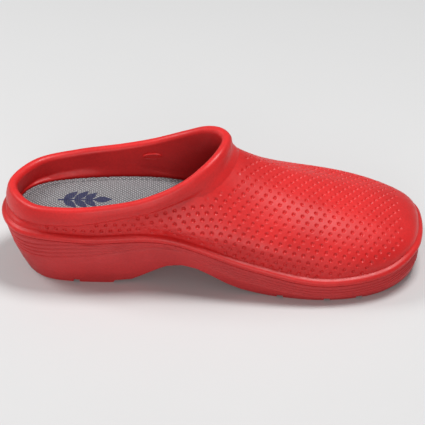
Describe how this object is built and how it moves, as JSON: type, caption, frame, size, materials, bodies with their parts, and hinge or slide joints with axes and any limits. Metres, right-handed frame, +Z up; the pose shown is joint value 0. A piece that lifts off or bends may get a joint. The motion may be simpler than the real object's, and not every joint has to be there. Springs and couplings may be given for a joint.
{
  "type": "garden clog",
  "caption": "Garden clog for the right foot: dimpled moulded upper with a closed toe and low heel, ridged wedge sole and a loose fabric-topped insole that lifts at the heel.",
  "frame": {"origin": "on the ground, under the middle of the clog's length and width", "axes": "+X from heel to toe, +Y towards the arch (inner) side of a right foot, +Z up"},
  "size_m": [0.276, 0.102, 0.092],
  "materials": {
    "upper_rubber": "satin",
    "sole_rubber": "matte",
    "insole_foam": "matte",
    "insole_fabric": "woven",
    "insole_thread": "thread",
    "insole_ink": "printed"
  },
  "bodies": {
    "clog_shell": {"upper": "upper_rubber", "sole": "sole_rubber", "insole_foam_front": "insole_foam", "insole_cover_front": "insole_fabric", "insole_stitching_front": "insole_thread"},
    "insole_heel": {"insole_foam_heel": "insole_foam", "insole_cover_heel": "insole_fabric", "insole_stitching_heel": "insole_thread", "insole_print": "insole_ink"}
  },
  "joints": [
    {"name": "insole_heel_lift", "type": "hinge", "parent": "clog_shell", "child": "insole_heel", "pos_m": [-0.0225, 0, 0.0424], "axis": [0, 1, 0], "range_deg": [0, 40]}
  ]
}
